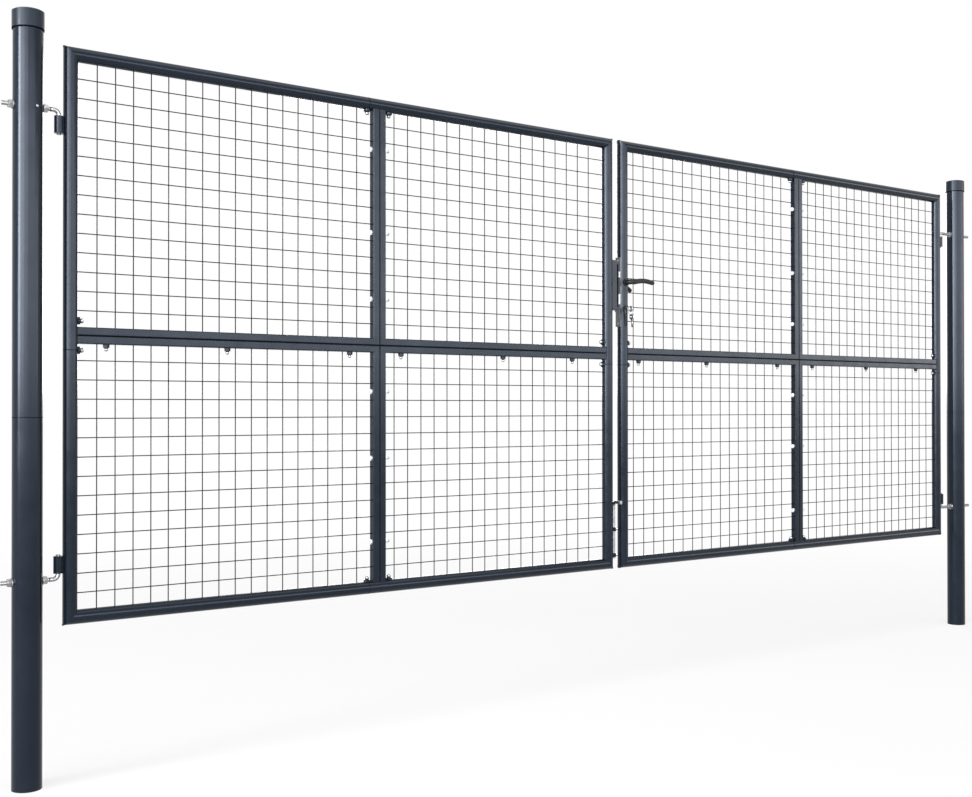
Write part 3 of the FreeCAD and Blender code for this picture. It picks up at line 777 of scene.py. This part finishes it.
def hinge_nuts(side, material):
    """Washers and chamfered nuts against both sides of the post."""
    mesh = bmesh.new()
    washer = ring_profile(HINGE_BORE, HINGE_WASHER_RADIUS, 0, HINGE_WASHER_HEIGHT)
    for z in PIN_LEVELS.values():
        for axis, face in (("-x", -POST_RADIUS), ("+x", POST_RADIUS)):
            place = spot(Vector((POST_CENTRES[side] + face, 0, z)), axis)
            turned(mesh, washer, place, sides=28, inner=True)
            seat = place @ Vector((0, 0, HINGE_WASHER_HEIGHT))
            hexagon(mesh, seat, axis, HINGE_NUT_CORNER, HINGE_NUT_HEIGHT, HINGE_BORE)
    piece = outward_piece(side + "_chamfered_nuts", mesh, "posts", material, smooth=False)
    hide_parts(side + "_hinge_nuts")


def post_seam_and_cap_shadow(side, material):
    """The thin dark line where a post's two lengths meet, and a dark ring under the rim of its cap that is
    a painted shadow of the rim.
    """
    x = POST_CENTRES[side]
    mesh = bmesh.new()
    turned(mesh, seam_profile(POST_RADIUS), spot((x, 0, POST_JOINT), "+z"), sides=64, inner=True)
    # A near-black ring under the cap's rim: painted shadow
    cap_shadow_ring = ring_profile(POST_RADIUS, CAP_RADIUS, 0, CAP_SHADOW_HEIGHT)
    turned(mesh, cap_shadow_ring, spot((x, 0, CAP_RIM - CAP_SHADOW_HEIGHT), "+z"), sides=64, inner=True)
    outward_piece(side + "_post_seam_and_cap_shadow", mesh, "posts", material)


# The pan-head screw in the left post and the welds of the hinge barrels

PAN_HEAD = [(0, 0), (0.0038, 0), (0.0037, 0.001), (0.003, 0.0018), (0.0017, 0.0022), (0, 0.0014)]
PAN_HEAD_TURN = math.radians(20)
PAN_HEAD_DROP = 0.004
PAN_HEAD_SINK = 0.0004
BARREL_CONTACTS = {"left_leaf": (0.091, -1), "right_leaf": (3.986, 1)}
BARREL_SPANS = ((1.698, 1.742), (0.548, 0.591))
BARREL_DROPS = 20
BARREL_BEAD = 0.0019
BEAD_OUT = 0.0014
BEAD_ASIDE = 0.0062


def post_screw(material):
    """The pan-head screw in the left post's front, a little below the level of its upper pin."""
    mesh = bmesh.new()
    away = Vector((math.sin(PAN_HEAD_TURN), -math.cos(PAN_HEAD_TURN), 0))
    level = Vector((0, 0, PIN_LEVELS["upper"] - PAN_HEAD_DROP))
    place = Matrix.Translation(level + away * (POST_RADIUS - PAN_HEAD_SINK))
    place = place @ away.to_track_quat("Z", "Y").to_matrix().to_4x4()
    turned(mesh, PAN_HEAD, place, sides=20)
    outward_piece("left_post_screw", mesh, "posts", material)


def barrel_welds(material):
    """The beads that hold the hinge barrels on the stiles."""
    for name, (x, away) in BARREL_CONTACTS.items():
        mesh = bmesh.new()
        for low, high in BARREL_SPANS:
            for side in (-1, 1):
                points = []
                for step in range(BARREL_DROPS):
                    height = low + (high - low) * step / (BARREL_DROPS - 1)
                    points.append(Vector((x + away * BEAD_OUT, side * BEAD_ASIDE, height)))
                bead(mesh, points, BARREL_BEAD)
        outward_piece(name + "_barrel_welds", mesh, name, material)


# Levers, latch and dead bolt

LOCK_X = 2.075
PLATE_FACE = 2.053
LEVER_Z = 1.424
NECK_START = TUBE_RADIUS + 0.0003
NECK_LENGTH = 0.0103
NECK_BEND = 0.016
NECK_RADIUS = 0.0092
GRIP_TAPER = 0.0012
GRIP_STEPS = 18
ROUND_TIP = 0.007
TIP_STEPS = (30, 55, 75)
LEVERS = {
    "front_lever": {"side": -1, "length": 0.110, "rise": 0.0055, "tip_drop": -0.001},
    "rear_lever": {"side": 1, "length": 0.085, "rise": 0.0, "tip_drop": 0.020},
}
LATCH = {"low": 1.441, "high": 1.461, "bevel": 0.0008}
DEAD_BOLT = {"low": 1.3455, "high": 1.3805, "bevel": 0.0}
LATCH_ROOT = PLATE_FACE + 0.0005
LATCH_TIP = PLATE_FACE - 0.003
LATCH_FRONT = -0.0115
LATCH_REAR = 0.0045


def lever(node, side, length, rise, tip_drop, material):
    """A lever whose neck bends into an arched, slightly tapered grip with a round tip."""
    neck_end = side * (NECK_START + NECK_LENGTH)
    line = [Vector((LOCK_X, side * NECK_START, LEVER_Z)), Vector((LOCK_X, neck_end, LEVER_Z))]
    centre = (LOCK_X + NECK_BEND, neck_end, LEVER_Z)
    line += arc(centre, (-1, 0, 0), (0, side, 0), NECK_BEND, start=10, end=90, steps=8)
    thick = [NECK_RADIUS] * len(line)
    grip = length - NECK_BEND - ROUND_TIP
    grip_y = side * (NECK_START + NECK_LENGTH + NECK_BEND)
    for step in range(1, GRIP_STEPS + 1):
        share = step / GRIP_STEPS
        lift = rise * math.sin(math.pi * share) - tip_drop * share ** 2
        line.append(Vector((LOCK_X + NECK_BEND + grip * share, grip_y, LEVER_Z + lift)))
        thick.append(NECK_RADIUS - GRIP_TAPER * share)
    along = (line[-1] - line[-2]).normalized()
    last, radius = line[-1], thick[-1]
    for degrees in TIP_STEPS:
        line.append(last + along * radius * math.sin(math.radians(degrees)))
        thick.append(radius * math.cos(math.radians(degrees)))
    mesh = bmesh.new()
    swept(mesh, line, thick, sides=24)
    piece = outward_piece(node + "_grip", mesh, "lever", material)
    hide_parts(node)


def latch_and_bolt(material):
    """A bevelled latch and a square dead bolt, both a little out of the faceplate."""
    mesh = bmesh.new()
    for part in (LATCH, DEAD_BOLT):
        section = [(LATCH_ROOT, LATCH_FRONT), (LATCH_TIP + part["bevel"], LATCH_FRONT),
                   (LATCH_TIP, LATCH_REAR), (LATCH_ROOT, LATCH_REAR)]
        rings = []
        for z in (part["low"], part["high"]):
            rings.append([mesh.verts.new((x, y, z)) for x, y in section])
        mesh.faces.new(rings[0])
        mesh.faces.new(rings[1])
        bridge(mesh, *rings)
    piece = outward_piece("bevelled_latch_and_bolt", mesh, "right_leaf", material, smooth=False)
    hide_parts("latch_and_dead_bolt")


# Painted shadow at the keep, drop bolt guides and faceplate screws

KEEP_EDGE = 2.039
KEEP_FRONT = -0.0135
# Place and size of the dark strip that paints the shadow at the keep's flange edge
KEEP_SHADOW_MIDDLE = 1.411
KEEP_SHADOW_OFFSET = 0.001
KEEP_SHADOW_SIZE = (0.004, 0.0045, 0.150)
GUIDE_X = 2.0304
GUIDE_LEVELS = (0.549, 0.458)
FLANGE_BORE = 0.0066
FLANGE_RADIUS = 0.0160
FLANGE_HALF_HEIGHT = 0.0017
FACEPLATE_SCREWS = (1.501, 1.277)
COUNTERSUNK_HEAD = [(0, -0.001), (0.0042, -0.001), (0.0042, 0.0001), (0.0036, 0.0003), (0, 0.0003)]


def keep_shadow_strip(material):
    """A dark strip at the edge of the keep's flange: painted shadow for the shaded gap between the flange
    and the lock's faceplate.
    """
    mesh = bmesh.new()
    place = Matrix.Translation((KEEP_EDGE + KEEP_SHADOW_OFFSET, KEEP_FRONT + KEEP_SHADOW_OFFSET, KEEP_SHADOW_MIDDLE))
    add_block(mesh, place, KEEP_SHADOW_SIZE)
    outward_piece("keep_edge_painted_shadow", mesh, "left_leaf", material, smooth=False)


def guide_flanges(material):
    """Flat rings round the drop bolt's guides, welded to the stile."""
    mesh = bmesh.new()
    section = ring_profile(FLANGE_BORE, FLANGE_RADIUS, -FLANGE_HALF_HEIGHT, FLANGE_HALF_HEIGHT)
    for z in GUIDE_LEVELS:
        turned(mesh, section, spot((GUIDE_X, 0, z), "+z"), sides=32, inner=True)
    outward_piece("guide_flanges", mesh, "left_leaf", material, smooth=False)


def faceplate_screws(material):
    """Countersunk screws at the ends of the lock's faceplate."""
    mesh = bmesh.new()
    for z in FACEPLATE_SCREWS:
        turned(mesh, COUNTERSUNK_HEAD, spot(Vector((PLATE_FACE, 0, z)), "-x"), sides=24)
    outward_piece("faceplate_screws", mesh, "right_leaf", material)


# Keys and tag at the lock cylinder

CYLINDER_Z = 1.328
CYLINDER_FACE = -0.034
TAG_TOP = Vector((LOCK_X - 0.012, CYLINDER_FACE + 0.006, CYLINDER_Z + 0.004))
TAG_LEAN = 0.0008
TAG_STEP = 0.0105
TAG_RADII = [0.0030, 0.0056, 0.0052, 0.0042, 0.0034, 0.0028, 0.0020]
KEY_BOW = [(0.0030, 0), (0.0100, 0), (0.0106, 0.0005), (0.0106, 0.0013), (0.0100, 0.0018), (0.0030, 0.0018)]
KEY_HALF_THICKNESS = 0.0009
KEY_BLADE = (0.0016, 0.0064, 0.028)
KEY_BLADE_MIDDLE = 0.023
KEY_REACH = 0.0095
RING_RADIUS = 0.0105
RING_WIRE = 0.0009
RING_GAP = 0.0005
RING_DIRECTION = (0.94, -0.34, 0)
SPARE_OFFSET = 0.003
SPARE_DROP = 0.0065
SPARE_DIRECTION = (0.10, 0, -0.995)


def key_tag(material):
    """A slim dark tag that hangs below the lock cylinder."""
    mesh = bmesh.new()
    line = []
    for step in range(len(TAG_RADII)):
        line.append(TAG_TOP + Vector((TAG_LEAN * step, 0, -TAG_STEP * step)))
    swept(mesh, line, TAG_RADII)
    outward_piece("key_tag", mesh, "right_leaf", material)


def flat_key(mesh, bow, down):
    """A key whose bow is a flat ring across X; its blade points along the given direction."""
    place = spot(bow - Vector((KEY_HALF_THICKNESS, 0, 0)), "+x")
    turned(mesh, KEY_BOW, place, sides=24, inner=True)
    side = Vector((1, 0, 0))
    along = Vector(down)
    across = along.cross(side)
    basis = Matrix((side, across, along)).transposed().to_4x4()
    add_block(mesh, Matrix.Translation(bow + along * KEY_BLADE_MIDDLE) @ basis, KEY_BLADE)


def keys(material):
    """A key in the lock cylinder, with a ring that carries a spare key."""
    mesh = bmesh.new()
    bow = Vector((LOCK_X, CYLINDER_FACE - KEY_REACH, CYLINDER_Z))
    flat_key(mesh, bow, (0, 1, 0))
    centre = bow + Vector((0, 0, -RING_RADIUS - RING_GAP))
    points = arc(centre, RING_DIRECTION, (0, 0, 1), RING_RADIUS, start=0, end=345, steps=28)
    swept(mesh, points, [RING_WIRE] * len(points), sides=8, closed=True)
    spare = centre + Vector((SPARE_OFFSET, 0, -RING_RADIUS - SPARE_DROP))
    flat_key(mesh, spare, SPARE_DIRECTION)
    outward_piece("keys_and_ring", mesh, "right_leaf", material)


# Welded mesh of round wires

UPRIGHT_PITCH = 0.050
ROW_PITCH = 0.051
WIRE_RADIUS = 0.0015
WIRE_SINK = 0.001
WIRES_ACROSS = 17
WIRES_UP = 13
WELD_POINT = (0.0021, 0.0016, 0.0021)
SIDE_MARGINS = {
    "left_leaf_mesh_upper_left": 0.052,
    "left_leaf_mesh_lower_left": 0.052,
    "left_leaf_mesh_upper_right": 0.037,
    "left_leaf_mesh_lower_right": 0.037,
    "right_leaf_mesh_upper_left": 0.034,
    "right_leaf_mesh_lower_left": 0.034,
    "right_leaf_mesh_upper_right": 0.048,
    "right_leaf_mesh_lower_right": 0.048,
}


def make_mesh_panel(node, material):
    """Replace one lattice of square bars by round wires with a small weld at each crossing."""
    low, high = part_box(node)
    upright_y = WIRE_RADIUS - WIRE_SINK / 2
    row_y = -upright_y
    lowest = (low[2] + high[2] - (WIRES_UP - 1) * ROW_PITCH) / 2
    columns = [low[0] + SIDE_MARGINS[node] + UPRIGHT_PITCH * step for step in range(WIRES_ACROSS)]
    rows = [lowest + ROW_PITCH * step for step in range(WIRES_UP)]
    mesh = bmesh.new()
    for x in columns:
        add_tube(mesh, (x, upright_y, low[2]), (x, upright_y, high[2]), WIRE_RADIUS)
    for z in rows:
        add_tube(mesh, (low[0], row_y, z), (high[0], row_y, z), WIRE_RADIUS)
    for x in columns:
        for z in rows:
            place = Matrix.Translation((x, 0, z)) @ Matrix.Diagonal((*WELD_POINT, 1))
            bmesh.ops.create_icosphere(mesh, subdivisions=1, radius=1.0, matrix=place)
    body = "left_leaf" if node.startswith("left") else "right_leaf"
    piece = new_piece(node + "_wires", mesh, body, material)
    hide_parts(node)


# Finishes of the CAD nodes that differ from their slots

FINISHES = {
    "left_post_cap": "cap_plastic",
    "right_post_cap": "cap_plastic",
    "lock_faceplate": "dull_zinc",
}


def dress_nodes(materials):
    """Give every CAD node that stays its finish."""
    slots = {entry["node"]: entry["material_slot"] for entry in frame["record"]["subparts"]}
    for name, item in frame["nodes"].items():
        finish = FINISHES.get(name, slots[name])
        item.data.materials.clear()
        item.data.materials.append(materials[finish])


make_camera()
make_stage()
materials = make_materials()
dress_nodes(materials)
for node in SIDE_MARGINS:
    make_mesh_panel(node, materials["mesh_wire"])
for leaf in LEAF_MIDDLES:
    leaf_welds(leaf, materials["powder_coat"])
    leaf_bolts(leaf, materials)
    tube_joints(leaf, materials["rubber"])
    groove_shade_strips(leaf, materials["rubber"])
for side in POST_CENTRES:
    hinge_pins(side, materials["zinc"])
    hinge_nuts(side, materials["zinc"])
    post_seam_and_cap_shadow(side, materials["rubber"])
post_screw(materials["zinc"])
barrel_welds(materials["powder_coat"])
faceplate_screws(materials["zinc"])
for node, shape in LEVERS.items():
    lever(node, material=materials["black_plastic"], **shape)
latch_and_bolt(materials["bright_steel"])
keep_shadow_strip(materials["rubber"])
guide_flanges(materials["powder_coat"])
key_tag(materials["black_plastic"])
keys(materials["zinc"])

bpy.context.scene.view_settings.view_transform = "Standard"
